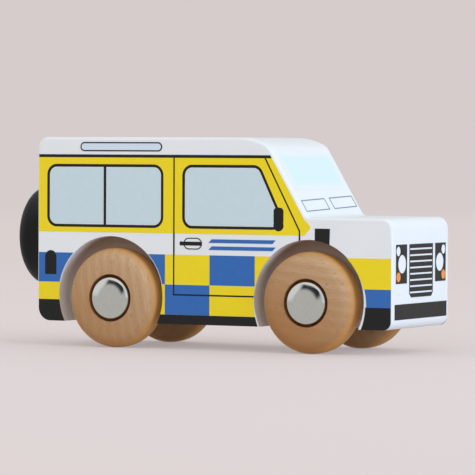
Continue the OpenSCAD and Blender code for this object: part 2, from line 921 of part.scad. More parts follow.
module grille() {
    chamfer = lamp_fit * grille_chamfer;
    first = grille_high - face_fit * grille_end;
    pitch = (grille_high - grille_low - 2 * face_fit * grille_end) / (grille_bars - 1);
    bar_half = [grille_half - front_fit * grille_border, face_fit * grille_bar_t / 2];
    difference() {
        polygon([
            [-grille_half, grille_high],
            [-grille_half, grille_low + chamfer],
            [-grille_half + chamfer, grille_low],
            [grille_half - chamfer, grille_low],
            [grille_half, grille_low + chamfer],
            [grille_half, grille_high]
        ]);
        for (i = [0 : grille_bars - 1])
            translate([0, first - i * pitch]) plain_box(-bar_half, bar_half);
    }
}

module lamp_panel() {
    difference() {
        plain_box([panel_in, panel_mid_z - panel_half_h], [panel_out, grille_high]);
        translate(headlamp_mid) circle(lamp_fit * headlamp_r);
        for (up = [-1, 1])
            translate([small_lamp_y, panel_mid_z + up * small_lamp_dz]) circle(lamp_fit * small_lamp_r);
    }
}

module grille_and_bumper_print() {
    color(ink_black)
        on_front() {
            bumper_bar();
            grille();
            lamp_panel();
            mirror([1, 0]) lamp_panel();
        }
}

module indicator_print() {
    color("#f0963c")
        on_front()
            for (side = [-1, 1])
                difference() {
                    translate([side * small_lamp_y, panel_mid_z - small_lamp_dz])
                        circle(lamp_fit * small_lamp_r);
                    translate([side * headlamp_mid.x, headlamp_mid.y])
                        circle(lamp_fit * headlamp_r);
                }
}

// A print on the windscreen, drawn in Y and up the slope
module on_glass() {
    on_screen()
        rotate([0, 0, 90])
            linear_extrude(film_t)
                children();
}

module windscreen_print() {
    half = front_fit * screen_w / 2;
    low = slope_fit * (flap_rise + flap_h + screen_rise);
    color("#d6f0fa")
        on_glass()
            rounded_box([-half, low], [half, low + slope_fit * screen_h], slope_fit * screen_r);
}

module air_flap_print() {
    line = [flap_line_t, flap_line_t];
    size = [front_fit * flap_w, slope_fit * flap_h];
    gap = front_fit * flap_gap;
    color("#5c6a80")
        on_glass()
            translate([0, slope_fit * flap_rise + size.y / 2])
                rotate(flap_tilt)
                    for (x = [gap / 2, -gap / 2 - size.x])
                        translate([x, -size.y / 2])
                            difference() {
                                square(size);
                                translate(line) square(size - 2 * line);
                            }
}

module rear_bumper_print() {
    color(ink_black) on_rear() bumper_bar();
}

module rear_lamp_print() {
    color("#c0302c")
        on_rear()
            for (side = [-1, 1])
                translate([side * (side_y - rear_lamp_inset), bumper_high + rear_lamp_rise])
                    circle(rear_lamp_r);
}

body_block();
axle(front_axle_x);  // front_axle
axle(rear_axle_x);  // rear_axle
for (end = ENDS)
    for (side = [-1, 1]) {
        place = str("_", end[0], side < 0 ? "_right" : "_left");
        wheel(end[1], side);
        hub_cap(end[1], side);
        axle_clip(end[1], side);
    }
spare_wheel();
spare_wheel_dowel();
for (side = [-1, 1]) {
    place = side < 0 ? "_right" : "_left";
    yellow_print(side);
    blue_print(side);
    black_print(side);
    window_print(side);
}
grille_and_bumper_print();
indicator_print();
windscreen_print();
air_flap_print();
rear_bumper_print();
rear_lamp_print();
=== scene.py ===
import math

import bmesh
import bpy
from mathutils import Matrix, Vector


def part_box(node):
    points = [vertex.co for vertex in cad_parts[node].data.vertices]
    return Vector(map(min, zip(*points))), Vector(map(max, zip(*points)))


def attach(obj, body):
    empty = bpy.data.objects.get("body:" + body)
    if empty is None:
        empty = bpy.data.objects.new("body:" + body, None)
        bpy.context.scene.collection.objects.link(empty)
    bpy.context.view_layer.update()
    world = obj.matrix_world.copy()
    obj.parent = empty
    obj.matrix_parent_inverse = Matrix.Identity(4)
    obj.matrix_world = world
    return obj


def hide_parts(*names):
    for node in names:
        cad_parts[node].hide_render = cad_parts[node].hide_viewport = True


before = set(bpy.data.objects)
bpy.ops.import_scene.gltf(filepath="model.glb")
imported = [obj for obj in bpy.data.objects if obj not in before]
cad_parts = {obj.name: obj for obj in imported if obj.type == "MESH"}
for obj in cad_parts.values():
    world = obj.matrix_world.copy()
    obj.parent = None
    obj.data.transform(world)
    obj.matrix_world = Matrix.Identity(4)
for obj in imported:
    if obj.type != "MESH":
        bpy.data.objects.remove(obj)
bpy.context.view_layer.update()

# Body block
# One block of hardwood, sawn to the car's side view, with its long edges sanded round.
# The wheel pockets are milled into both sides and the axle holes drilled across.
# It is sprayed with white satin enamel, and it carries everything else.
mm = 0.001
block_low, block_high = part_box("body_block")
tail_x = block_low.x
nose_x = block_high.x
side_y = block_high.y
under_z = block_low.z
roof_z = block_high.z
bonnet_z = 40 * mm
screen_foot_x = nose_x - 27.8 * mm
screen_lean = math.radians(59)
brow_lean = math.radians(28)
brow_drop = 2.67 * mm
brow_low_x = screen_foot_x - (roof_z - brow_drop - bonnet_z) / math.tan(screen_lean)
brow_high_x = brow_low_x - brow_drop / math.tan(brow_lean)
screen_foot_r = 2.2 * mm
brow_low_r = 4.5 * mm
brow_high_r = 17 * mm
bonnet_edge_r = 3.3 * mm
nose_low_r = 2.9 * mm
tail_low_r = 4.5 * mm
tail_high_r = 3 * mm
edge_r = 1 * mm
upright_edge_r = 0.5 * mm
round_steps = 10
edge_steps = 5
crease = math.radians(32)
merge_gap = 0.001 * mm

front_axle_x = 38 * mm
rear_axle_x = -27.8 * mm
axle_z = 15 * mm
pocket_floor_y = 10.75 * mm
front_pocket_z = 15.5 * mm
rear_pocket_x = -28.6 * mm
rear_pocket_z = 15.6 * mm
pocket_places = [(front_axle_x, front_pocket_z), (rear_pocket_x, rear_pocket_z)]
pocket_r = 17.95 * mm
pocket_corner_r = 3 * mm
pocket_rim_r = 0.1 * mm
pocket_mouth_r = pocket_r + 1.3 * pocket_rim_r
pocket_overshoot = 3 * mm
rim_lift = 0.02 * mm
axle_bore_r = 2.58 * mm
turning_steps = 96


def round_corner(bm, corner, radius):
    """Rounds one corner of a flat outline, as a router bit of that radius leaves it."""
    one, two = [edge.other_vert(corner).co - corner.co for edge in corner.link_edges]
    run = radius / math.tan(one.angle(two) / 2)
    bmesh.ops.bevel(
        bm, geom=[corner], offset=run, offset_type="OFFSET", segments=round_steps,
        profile=0.5, affect="VERTICES", material=-1,
    )


def outline(bm, corners):
    """A flat outline from corner points, each with the radius that it is rounded by."""
    points = [bm.verts.new(place) for place, radius in corners]
    bm.faces.new(points)
    for point, (place, radius) in zip(points, corners):
        if radius:
            round_corner(bm, point, radius)
    return bm.faces[:][0]


def turn(bm, x, z):
    """Turns the profile that bm holds right round an axle at x and z, as on a lathe."""
    bmesh.ops.delete(bm, geom=bm.faces[:], context="FACES_ONLY")
    bmesh.ops.spin(
        bm, geom=bm.verts[:] + bm.edges[:], cent=(x, 0, z), axis=(0, 1, 0),
        angle=math.tau, steps=turning_steps, use_merge=True,
    )
    bmesh.ops.remove_doubles(bm, verts=bm.verts[:], dist=merge_gap)
    bmesh.ops.dissolve_degenerate(bm, edges=bm.edges[:], dist=merge_gap)
    bmesh.ops.recalc_face_normals(bm, faces=bm.faces[:])


def made(name, bm):
    """The finished mesh as an object at the origin, smooth except at its real creases."""
    for face in bm.faces:
        face.smooth = True
    mesh = bpy.data.meshes.new(name)
    bm.to_mesh(mesh)
    bm.free()
    mesh.set_sharp_from_angle(angle=crease)
    piece = bpy.data.objects.new(name, mesh)
    bpy.context.scene.collection.objects.link(piece)
    return piece


def carved(piece, cutters):
    """The piece with the cutters' shapes taken out of it for good."""
    for cutter in cutters:
        step = piece.modifiers.new("carve", "BOOLEAN")
        step.operation = "DIFFERENCE"
        step.solver = "EXACT"
        step.object = cutter
    ready = piece.evaluated_get(bpy.context.evaluated_depsgraph_get())
    mesh = bpy.data.meshes.new_from_object(ready)
    piece.modifiers.clear()
    piece.data = mesh
    for cutter in cutters:
        bpy.data.objects.remove(cutter)
    for face in mesh.polygons:
        face.use_smooth = True
    mesh.set_sharp_from_angle(angle=crease)


bm = bmesh.new()
side_view = [
    ((tail_x, -side_y, under_z), tail_low_r),
    ((nose_x, -side_y, under_z), nose_low_r),
    ((nose_x, -side_y, bonnet_z), bonnet_edge_r),
    ((screen_foot_x, -side_y, bonnet_z), screen_foot_r),
    ((brow_low_x, -side_y, roof_z - brow_drop), brow_low_r),
    ((brow_high_x, -side_y, roof_z), brow_high_r),
    ((tail_x, -side_y, roof_z), tail_high_r),
]
side_face = outline(bm, side_view)
sawn = bmesh.ops.extrude_face_region(bm, geom=[side_face])
far_side = [item for item in sawn["geom"] if isinstance(item, bmesh.types.BMVert)]
bmesh.ops.translate(bm, verts=far_side, vec=(0, 2 * side_y, 0))
bmesh.ops.recalc_face_normals(bm, faces=bm.faces[:])
sanding = bm.edges.layers.float.new("bevel_weight_edge")
for edge in bm.edges:
    one, two = [vert.co for vert in edge.verts]
    along_side = abs(one.y - two.y) < merge_gap
    underneath = max(one.z, two.z) < under_z + merge_gap
    upright = abs(one.x - two.x) < merge_gap
    if along_side and not underneath:
        edge[sanding] = upright_edge_r / edge_r if upright else 1
body = made("car_block", bm)
sand = body.modifiers.new("sand", "BEVEL")
sand.limit_method = "WEIGHT"
sand.width = edge_r
sand.segments = edge_steps

pockets = bmesh.new()
for pocket_x, pocket_z in pocket_places:
    for side in (-1, 1):
        one_pocket = bmesh.new()
        mouth_y = side_y + rim_lift
        profile = [
            (0, pocket_floor_y, 0),
            (pocket_r, pocket_floor_y, pocket_corner_r),
            (pocket_r, mouth_y, pocket_rim_r),
            (pocket_mouth_r, mouth_y, 0),
            (pocket_mouth_r, mouth_y + pocket_overshoot, 0),
            (0, mouth_y + pocket_overshoot, 0),
        ]
        outline(one_pocket, [((pocket_x + r, side * y, pocket_z), bend) for r, y, bend in profile])
        turn(one_pocket, pocket_x, pocket_z)
        pocket_mesh = bpy.data.meshes.new("pocket")
        one_pocket.to_mesh(pocket_mesh)
        one_pocket.free()
        pockets.from_mesh(pocket_mesh)
        bpy.data.meshes.remove(pocket_mesh)
pocket_cutter = made("pocket_cutter", pockets)

bores = bmesh.new()
across = Matrix.Rotation(math.radians(90), 4, "X")
for axle_x in (front_axle_x, rear_axle_x):
    bmesh.ops.create_cone(
        bores, cap_ends=True, segments=turning_steps, radius1=axle_bore_r, radius2=axle_bore_r,
        depth=4 * side_y, matrix=Matrix.Translation((axle_x, 0, axle_z)) @ across,
    )
bore_cutter = made("bore_cutter", bores)

dowel_z = 33 * mm
dowel_hole_r = 4.05 * mm
dowel_hole_depth = 7.55 * mm
along = Matrix.Rotation(math.radians(90), 4, "Y")
dowel_hole = bmesh.new()
bmesh.ops.create_cone(
    dowel_hole, cap_ends=True, segments=turning_steps, radius1=dowel_hole_r, radius2=dowel_hole_r,
    depth=2 * dowel_hole_depth, matrix=Matrix.Translation((tail_x, 0, dowel_z)) @ along,
)
dowel_cutter = made("dowel_cutter", dowel_hole)
carved(body, [pocket_cutter, bore_cutter, dowel_cutter])
level = body.modifiers.new("level_faces", "WEIGHTED_NORMAL")
level.keep_sharp = True


def linear(colour):
    """An sRGB hex colour as linear red, green, blue and alpha."""
    parts = [int(colour[i:i + 2], 16) / 255 for i in (1, 3, 5)]
    return [c / 12.92 if c <= 0.04045 else ((c + 0.055) / 1.055) ** 2.4 for c in parts] + [1.0]


def add(tree, kind, sockets=(), **settings):
    """Adds a node with its settings, and gives each named socket a value or a link."""
    new = tree.nodes.new(kind)
    for name, value in settings.items():
        setattr(new, name, value)
    for name, value in sockets:
        if isinstance(value, bpy.types.NodeSocket):
            tree.links.new(value, new.inputs[name])
        else:
            new.inputs[name].default_value = value
    return new


def finish_named(name):
    """A new material with its surface shader, its node tree and the place on the piece."""
    material = bpy.data.materials.new(name)
    material.use_nodes = True
    tree = material.node_tree
    surface = tree.nodes["Principled BSDF"]
    place = add(tree, "ShaderNodeTexCoord").outputs["Object"]
    return material, tree, surface, place


def spread(tree, place, size, detail=3.0, roughness=0.5):
    """Soft random values over the piece, with patches of the given x, y and z size."""
    scaled = add(
        tree, "ShaderNodeMapping",
        [("Vector", place), ("Scale", [1 / part for part in size])],
    )
    noise = add(
        tree, "ShaderNodeTexNoise",
        [("Vector", scaled.outputs[0]), ("Scale", 1.0), ("Detail", detail), ("Roughness", roughness)],
    )
    return noise.outputs["Fac"]


# Satin enamel on sanded wood: an even cool white, with a little unevenness of the spray
# and the wood's grain just showing through as a low ripple along the block.
# Deep inside the wheel pockets and towards their ceilings the white is painted brown grey, as painted
# shade of the pockets.
spray_patch = 9 * mm
gloss_patch = 4 * mm
grain_length = 14 * mm
grain_width = 0.7 * mm
grain_height = 0.06 * mm
pocket_shade_start_depth = 0.8 * mm
pocket_shade_full_depth = 7 * mm
pocket_shade_start_z = 17 * mm
pocket_shade_full_z = 30 * mm
paint, tree, surface, place = finish_named("satin_white_enamel_on_wood")
spray = spread(tree, place, (spray_patch, spray_patch, spray_patch))
tone = add(
    tree, "ShaderNodeMix",
    [("Factor", spray), ("A", linear("#e9eced")), ("B", linear("#e3e7e9"))],
    data_type="RGBA",
)
parted = add(tree, "ShaderNodeSeparateXYZ", [(0, place)])
from_middle = add(tree, "ShaderNodeMath", [(0, parted.outputs["Y"])], operation="ABSOLUTE")
# Painted shade: the white turns brown grey deep in the wheel pockets and towards their ceilings.
deep_share = add(
    tree, "ShaderNodeMapRange",
    [
        ("Value", from_middle.outputs[0]), ("From Min", side_y - pocket_shade_start_depth),
        ("From Max", side_y - pocket_shade_full_depth),
    ],
    interpolation_type="SMOOTHSTEP",
)
ceiling_share = add(
    tree, "ShaderNodeMapRange",
    [("Value", parted.outputs["Z"]), ("From Min", pocket_shade_start_z), ("From Max", pocket_shade_full_z)],
)
pocket_shade_share = add(
    tree, "ShaderNodeMath", [(0, deep_share.outputs[0]), (1, ceiling_share.outputs[0])],
    operation="MULTIPLY",
).outputs[0]
side_place = add(
    tree, "ShaderNodeCombineXYZ",
    [("X", parted.outputs["X"]), ("Z", parted.outputs["Z"])],
)
coated = tone.outputs["Result"]
for pocket_x, pocket_z in pocket_places:
    from_axis = add(
        tree, "ShaderNodeVectorMath",
        [(0, side_place.outputs[0]), (1, (pocket_x, 0, pocket_z))],
        operation="DISTANCE",
    )
    inside = add(
        tree, "ShaderNodeMath",
        [(0, from_axis.outputs["Value"]), (1, pocket_r + 2 * pocket_rim_r)],
        operation="LESS_THAN",
    )
    share = add(tree, "ShaderNodeMath", [(0, inside.outputs[0]), (1, pocket_shade_share)], operation="MULTIPLY")
    pocket_shaded = add(
        tree, "ShaderNodeMix",
        [("Factor", share.outputs[0]), ("A", coated), ("B", linear("#c0a898"))],
        data_type="RGBA",
    )
    coated = pocket_shaded.outputs["Result"]
tree.links.new(coated, surface.inputs["Base Color"])
sheen = spread(tree, place, (gloss_patch, gloss_patch, gloss_patch))
gloss = add(tree, "ShaderNodeMapRange", [("Value", sheen), ("To Min", 0.34), ("To Max", 0.46)])
tree.links.new(gloss.outputs[0], surface.inputs["Roughness"])
grain = spread(tree, place, (grain_length, grain_width, grain_width), detail=2.0)
ripple = add(
    tree, "ShaderNodeBump",
    [("Height", grain), ("Strength", 0.12), ("Distance", grain_height)],
)
tree.links.new(ripple.outputs[0], surface.inputs["Normal"])
surface.inputs["Specular IOR Level"].default_value = 0.4
body.data.materials.clear()
body.data.materials.append(paint)
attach(body, "car_body")
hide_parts("body_block")

# Printed livery
# Screen-printed ink on the block's flat faces: the yellow and blue fields first, then panes and lamps,
# and last the black lines. Each colour is one pass, a film that is too thin to feel.
inks = [
    ("yellow_ink", "#f1d91b", "#ecd317", ["yellow_print_right", "yellow_print_left"]),
    ("blue_ink", "#336cb6", "#2d66ae", ["blue_print_right", "blue_print_left"]),
    ("pale_blue_ink", "#c9dce2", "#c3d7de", ["window_print_right", "window_print_left"]),
    ("orange_ink", "#f4963f", "#ee8a33", ["indicator_print"]),
    ("red_ink", "#c03a30", "#b52f27", ["rear_lamp_print"]),
    ("grey_ink", "#6f7a86", "#87919c", ["air_flap_print"]),
    (
        "black_ink", "#1a191c", "#161518",
        ["black_print_right", "black_print_left", "grille_and_bumper_print", "rear_bumper_print"],
    ),
]
ink_patch = 2 * mm
for ink_name, thick_colour, thin_colour, printed in inks:
    # Screen ink is a little thinner in soft patches, and its face is slightly duller than the enamel's.
    # The mesh of the screen is finer than a pixel, so the patches are drawn at 2 mm to show.
    ink, tree, surface, place = finish_named("screen_printed_" + ink_name)
    thinness = spread(tree, place, (ink_patch, ink_patch, ink_patch))
    tone = add(
        tree, "ShaderNodeMix",
        [("Factor", thinness), ("A", linear(thick_colour)), ("B", linear(thin_colour))],
        data_type="RGBA",
    )
    tree.links.new(tone.outputs["Result"], surface.inputs["Base Color"])
    gloss = add(
        tree, "ShaderNodeMapRange",
        [("Value", thinness), ("To Min", 0.36), ("To Max", 0.48)],
    )
    tree.links.new(gloss.outputs[0], surface.inputs["Roughness"])
    grain = spread(tree, place, (grain_length, grain_width, grain_width), detail=2.0)
    ripple = add(
        tree, "ShaderNodeBump",
        [("Height", grain), ("Strength", 0.12), ("Distance", grain_height)],
    )
    tree.links.new(ripple.outputs[0], surface.inputs["Normal"])
    surface.inputs["Specular IOR Level"].default_value = 0.3
    for node in printed:
        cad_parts[node].material_slots[0].material = ink

# The strip below the roof is a sparser print of the panes' blue, so it looks paler.
strip_low_z = 58 * mm
tree = bpy.data.materials["screen_printed_pale_blue_ink"].node_tree
surface = tree.nodes["Principled BSDF"]
panes = surface.inputs["Base Color"].links[0].from_socket
height = add(tree, "ShaderNodeSeparateXYZ", [(0, add(tree, "ShaderNodeTexCoord").outputs["Object"])])
above = add(
    tree, "ShaderNodeMath", [(0, height.outputs["Z"]), (1, strip_low_z)], operation="GREATER_THAN",
)
tone = add(
    tree, "ShaderNodeMix",
    [("Factor", above.outputs[0]), ("A", panes), ("B", linear("#d2e0eb"))],
    data_type="RGBA",
)
tree.links.new(tone.outputs["Result"], surface.inputs["Base Color"])

# The windscreen's tint is sprayed through a stencil, so it fades into the white at its border.
tint_low = 9.3 * mm
tint_high = 21.6 * mm
tint_half_w = 17.5 * mm
tint_fade = 3 * mm
tint_top_fade = 1.6 * mm
tint, tree, surface, place = finish_named("sprayed_ice_blue_tint")
from_foot = add(
    tree, "ShaderNodeVectorMath",
    [(0, place), (1, (screen_foot_x, 0, bonnet_z))],
    operation="SUBTRACT",
)
up_slope = add(
    tree, "ShaderNodeVectorMath",
    [(0, from_foot.outputs[0]), (1, (-math.cos(screen_lean), 0, math.sin(screen_lean)))],
    operation="DOT_PRODUCT",
)
sideways = add(tree, "ShaderNodeSeparateXYZ", [(0, place)])
from_middle = add(tree, "ShaderNodeMath", [(0, sideways.outputs["Y"])], operation="ABSOLUTE")
fades = []
for distance, edge, inside in (
    (up_slope.outputs["Value"], tint_low, tint_low + tint_fade),
    (up_slope.outputs["Value"], tint_high, tint_high - tint_top_fade),
    (from_middle.outputs[0], tint_half_w, tint_half_w - tint_fade),
):
    fade = add(
        tree, "ShaderNodeMapRange",
        [("Value", distance), ("From Min", edge), ("From Max", inside)],
        interpolation_type="SMOOTHSTEP",
    )
    fades.append(fade.outputs[0])
up_fade = add(tree, "ShaderNodeMath", [(0, fades[0]), (1, fades[1])], operation="MULTIPLY")
whole_fade = add(tree, "ShaderNodeMath", [(0, up_fade.outputs[0]), (1, fades[2])], operation="MULTIPLY")
tone = add(
    tree, "ShaderNodeMix",
    [("Factor", whole_fade.outputs[0]), ("A", linear("#e6eaeb")), ("B", linear("#d6eaf1"))],
    data_type="RGBA",
)
tree.links.new(tone.outputs["Result"], surface.inputs["Base Color"])
surface.inputs["Roughness"].default_value = 0.4
surface.inputs["Specular IOR Level"].default_value = 0.4
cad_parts["windscreen_print"].material_slots[0].material = tint

# Axles
# Two drawn bright steel rods, cut to length, which run loose in the block's bores.
# Their ends are hidden by the hub caps, and a short length shows between wheel and pocket.
rod, tree, surface, place = finish_named("drawn_bright_steel")
draw_line_w = 0.15 * mm
draw_line_l = 12 * mm
drawn = spread(tree, place, (draw_line_w, draw_line_l, draw_line_w))
tone = add(
    tree, "ShaderNodeMix",
    [("Factor", drawn), ("A", linear("#b9bcbf")), ("B", linear("#9da0a4"))],
    data_type="RGBA",
)
tree.links.new(tone.outputs["Result"], surface.inputs["Base Color"])
gloss = add(tree, "ShaderNodeMapRange", [("Value", drawn), ("To Min", 0.22), ("To Max", 0.38)])
tree.links.new(gloss.outputs[0], surface.inputs["Roughness"])
surface.inputs["Metallic"].default_value = 1.0
for node in ("front_axle", "rear_axle"):
    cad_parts[node].material_slots[0].material = rod

# Wheels
# Four discs turned from beech boards, with both edges rounded over and the face counterbored
# for the hub cap. The bit scorched a ragged dark ring round the counterbore, and the counterbore's
# wall and floor are painted dark as its shade.
wheel_r = 15 * mm
wheel_back_y = 11.75 * mm
wheel_face_y = 21.75 * mm
wheel_edge_r = 3.8 * mm
recess_r = 7.1 * mm
recess_floor_y = 18.75 * mm
recess_lip_r = 0.25 * mm
growth_band = 3.1 * mm
fibre_size = (0.35 * mm, 0.35 * mm, 7 * mm)
fleck_size = (0.32 * mm, 0.6 * mm, 1.7 * mm)
toward_painted_shade = (-0.5, 0, -0.87)
painted_shade_starts = -20 * mm
painted_shade_full = 13 * mm
rim_highlight_starts_r = 13.3 * mm
pore_depth = 0.08 * mm
scorch_size = (0.9 * mm, 0.9 * mm, 1.6 * mm)
scorch_reach_r = 7.4 * mm
scorch_fade_out = 0.15 * mm
scorch_fade_in = 0.35 * mm
# A wave texture repeats at this length where its scale is 1.
wave_length = math.tau / 20
# Each wheel has its side, the turn of its grain in degrees, and the strength of its painted shade towards
# its lower back.
wheels = [
    ("wheel_front_right", "front_right_wheel", front_axle_x, -1, 82, 0.92),
    ("wheel_front_left", "front_left_wheel", front_axle_x, 1, 35, 0.7),
    ("wheel_rear_right", "rear_right_wheel", rear_axle_x, -1, 8, 0.68),
    ("wheel_rear_left", "rear_left_wheel", rear_axle_x, 1, 128, 0.7),
]
for node, body_name, axle_x, side, grain_turn, painted_shade_strength in wheels:
    bm = bmesh.new()
    profile = [
        (axle_bore_r, wheel_back_y, 0),
        (wheel_r, wheel_back_y, wheel_edge_r),
        (wheel_r, wheel_face_y, wheel_edge_r),
        (recess_r, wheel_face_y, recess_lip_r),
        (recess_r, recess_floor_y, 0),
        (axle_bore_r, recess_floor_y, 0),
    ]
    outline(bm, [((axle_x + r, side * y, axle_z), bend) for r, y, bend in profile])
    turn(bm, axle_x, axle_z)
    wheel = made("beech_" + node, bm)

    # Beech is a pink-tan wood with faint growth bands a few millimetres apart, fine fibre streaks
    # and short darker flecks along the grain. Each wheel is painted darker and warmer towards its lower
    # back, as painted shade, and its outer rim a lighter golden orange, as a painted highlight.
    beech, tree, surface, place = finish_named("turned_beech_" + node)
    centred = add(
        tree, "ShaderNodeMapping",
        [("Vector", place), ("Location", (-axle_x, 0, -axle_z))],
    )
    turned = add(
        tree, "ShaderNodeMapping",
        [("Vector", centred.outputs[0]), ("Rotation", (0, math.radians(grain_turn), 0))],
    )
    bands = add(
        tree, "ShaderNodeTexWave",
        [
            ("Vector", turned.outputs[0]), ("Scale", wave_length / growth_band),
            ("Distortion", 3.0), ("Detail", 2.0), ("Detail Scale", 0.35),
        ],
        wave_type="BANDS", bands_direction="X",
    )
    fibres = spread(tree, turned.outputs[0], fibre_size, detail=4.0, roughness=0.6)
    fleck_cells = spread(tree, turned.outputs[0], fleck_size, detail=0.0)
    flecks = add(
        tree, "ShaderNodeMapRange",
        [("Value", fleck_cells), ("From Min", 0.66), ("From Max", 0.78)],
        interpolation_type="SMOOTHSTEP",
    )
    banded = add(
        tree, "ShaderNodeMix",
        [("Factor", bands.outputs["Fac"]), ("A", linear("#d0b08c")), ("B", linear("#c6a57f"))],
        data_type="RGBA",
    )
    fibre_share = add(
        tree, "ShaderNodeMapRange",
        [("Value", fibres), ("From Min", 0.35), ("From Max", 0.75), ("To Max", 0.4)],
    )
    streaked = add(
        tree, "ShaderNodeMix",
        [("Factor", fibre_share.outputs[0]), ("A", banded.outputs["Result"]), ("B", linear("#a47c52"))],
        data_type="RGBA",
    )
    fleck_share = add(
        tree, "ShaderNodeMath", [(0, flecks.outputs[0]), (1, 0.4)], operation="MULTIPLY",
    )
    flecked = add(
        tree, "ShaderNodeMix",
        [("Factor", fleck_share.outputs[0]), ("A", streaked.outputs["Result"]), ("B", linear("#91653f"))],
        data_type="RGBA",
    )
    # Painted shade: each wheel turns darker and warmer towards its lower back.
    painted_shade_side = add(
        tree, "ShaderNodeVectorMath", [(0, centred.outputs[0]), (1, toward_painted_shade)],
        operation="DOT_PRODUCT",
    )
    painted_shade_share = add(
        tree, "ShaderNodeMapRange",
        [
            ("Value", painted_shade_side.outputs["Value"]), ("From Min", painted_shade_starts),
            ("From Max", painted_shade_full), ("To Max", painted_shade_strength),
        ],
    )
    shaded_low_back = add(
        tree, "ShaderNodeMix",
        [("Factor", painted_shade_share.outputs[0]), ("A", flecked.outputs["Result"]), ("B", linear("#a06c38"))],
        data_type="RGBA",
    )
    flat = add(
        tree, "ShaderNodeVectorMath", [(0, centred.outputs[0]), (1, (1, 0, 1))], operation="MULTIPLY",
    )
    radius = add(tree, "ShaderNodeVectorMath", [(0, flat.outputs[0])], operation="LENGTH")
    # Painted highlight: the outer rounded rim turns a lighter golden orange.
    rim_highlight_share = add(
        tree, "ShaderNodeMapRange",
        [
            ("Value", radius.outputs["Value"]), ("From Min", rim_highlight_starts_r),
            ("From Max", wheel_r), ("To Max", 0.7),
        ],
        interpolation_type="SMOOTHSTEP",
    )
    rim_highlighted = add(
        tree, "ShaderNodeMix",
        [("Factor", rim_highlight_share.outputs[0]), ("A", shaded_low_back.outputs["Result"]), ("B", linear("#d29548"))],
        data_type="RGBA",
    )
    ragged = spread(tree, turned.outputs[0], scorch_size, detail=4.0, roughness=0.65)
    scorch_reach = add(
        tree, "ShaderNodeMapRange",
        [
            ("Value", ragged), ("From Min", 0.3), ("From Max", 0.7),
            ("To Min", recess_r), ("To Max", scorch_reach_r),
        ],
    )
    scorch_inside = add(
        tree, "ShaderNodeMath",
        [(0, scorch_reach.outputs[0]), (1, radius.outputs["Value"])],
        operation="SUBTRACT",
    )
    # The ragged dark ring on the face is scorch; over the counterbore's wall and floor the same dark is
    # painted shade.
    scorch_and_recess_shade = add(
        tree, "ShaderNodeMapRange",
        [
            ("Value", scorch_inside.outputs[0]), ("From Min", -scorch_fade_out),
            ("From Max", scorch_fade_in), ("To Max", 0.8),
        ],
        interpolation_type="SMOOTHSTEP",
    )
    scorched_and_recess_shaded = add(
        tree, "ShaderNodeMix",
        [("Factor", scorch_and_recess_shade.outputs[0]), ("A", rim_highlighted.outputs["Result"]), ("B", linear("#965828"))],
        data_type="RGBA",
    )
    tree.links.new(scorched_and_recess_shaded.outputs["Result"], surface.inputs["Base Color"])
    gloss = add(tree, "ShaderNodeMapRange", [("Value", fibres), ("To Min", 0.5), ("To Max", 0.68)])
    tree.links.new(gloss.outputs[0], surface.inputs["Roughness"])
    pores = add(
        tree, "ShaderNodeBump",
        [("Height", fibres), ("Strength", 0.25), ("Distance", pore_depth)],
    )
    tree.links.new(pores.outputs[0], surface.inputs["Normal"])
    surface.inputs["Specular IOR Level"].default_value = 0.3
    wheel.data.materials.append(beech)
    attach(wheel, body_name)
    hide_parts(node)

# Axle clips
# Toothed washers stamped from spring steel, held inside the hub caps, which bite on the axles.
# They are hidden unless a cap comes off.
spring, tree, surface, place = finish_named("stamped_spring_steel")
heat_patch = 2.5 * mm
heat = spread(tree, place, (heat_patch, heat_patch, heat_patch))
tone = add(
    tree, "ShaderNodeMix",
    [("Factor", heat), ("A", linear("#74787d")), ("B", linear("#66686f"))],
    data_type="RGBA",
)
tree.links.new(tone.outputs["Result"], surface.inputs["Base Color"])
surface.inputs["Metallic"].default_value = 1.0
surface.inputs["Roughness"].default_value = 0.4

# Hub caps
# Four domed caps pressed from steel sheet and plated, which push on to the axle ends.
# Each has a short straight rim, a tight shoulder and a shallow crown.
cap_seat_y = 19.05 * mm
cap_r = 6.5 * mm
cap_rim_h = 1.8 * mm
cap_shoulder_r = 1.5 * mm
cap_crown_r = 14.5 * mm
cap_wall = 0.5 * mm
cap_arc_steps = 14
shoulder_in = cap_r - cap_shoulder_r
crown_drop = math.sqrt((cap_crown_r - cap_shoulder_r) ** 2 - shoulder_in ** 2)
crown_turn = math.atan2(shoulder_in, crown_drop)
shoulder_turn = math.pi / 2 - crown_turn

# Plated steel is a bright, neutral mirror, softened in patches by polishing and handling scuffs.
plating, tree, surface, place = finish_named("plated_pressed_steel")
scuff_size = 1.2 * mm
scuffs = spread(tree, place, (scuff_size, scuff_size, scuff_size), detail=5.0, roughness=0.7)
tone = add(
    tree, "ShaderNodeMix",
    [("Factor", scuffs), ("A", linear("#d6d7d5")), ("B", linear("#c9cac8"))],
    data_type="RGBA",
)
tree.links.new(tone.outputs["Result"], surface.inputs["Base Color"])
gloss = add(
    tree, "ShaderNodeMapRange",
    [("Value", scuffs), ("From Min", 0.3), ("From Max", 0.75), ("To Min", 0.07), ("To Max", 0.15)],
)
tree.links.new(gloss.outputs[0], surface.inputs["Roughness"])
surface.inputs["Metallic"].default_value = 1.0

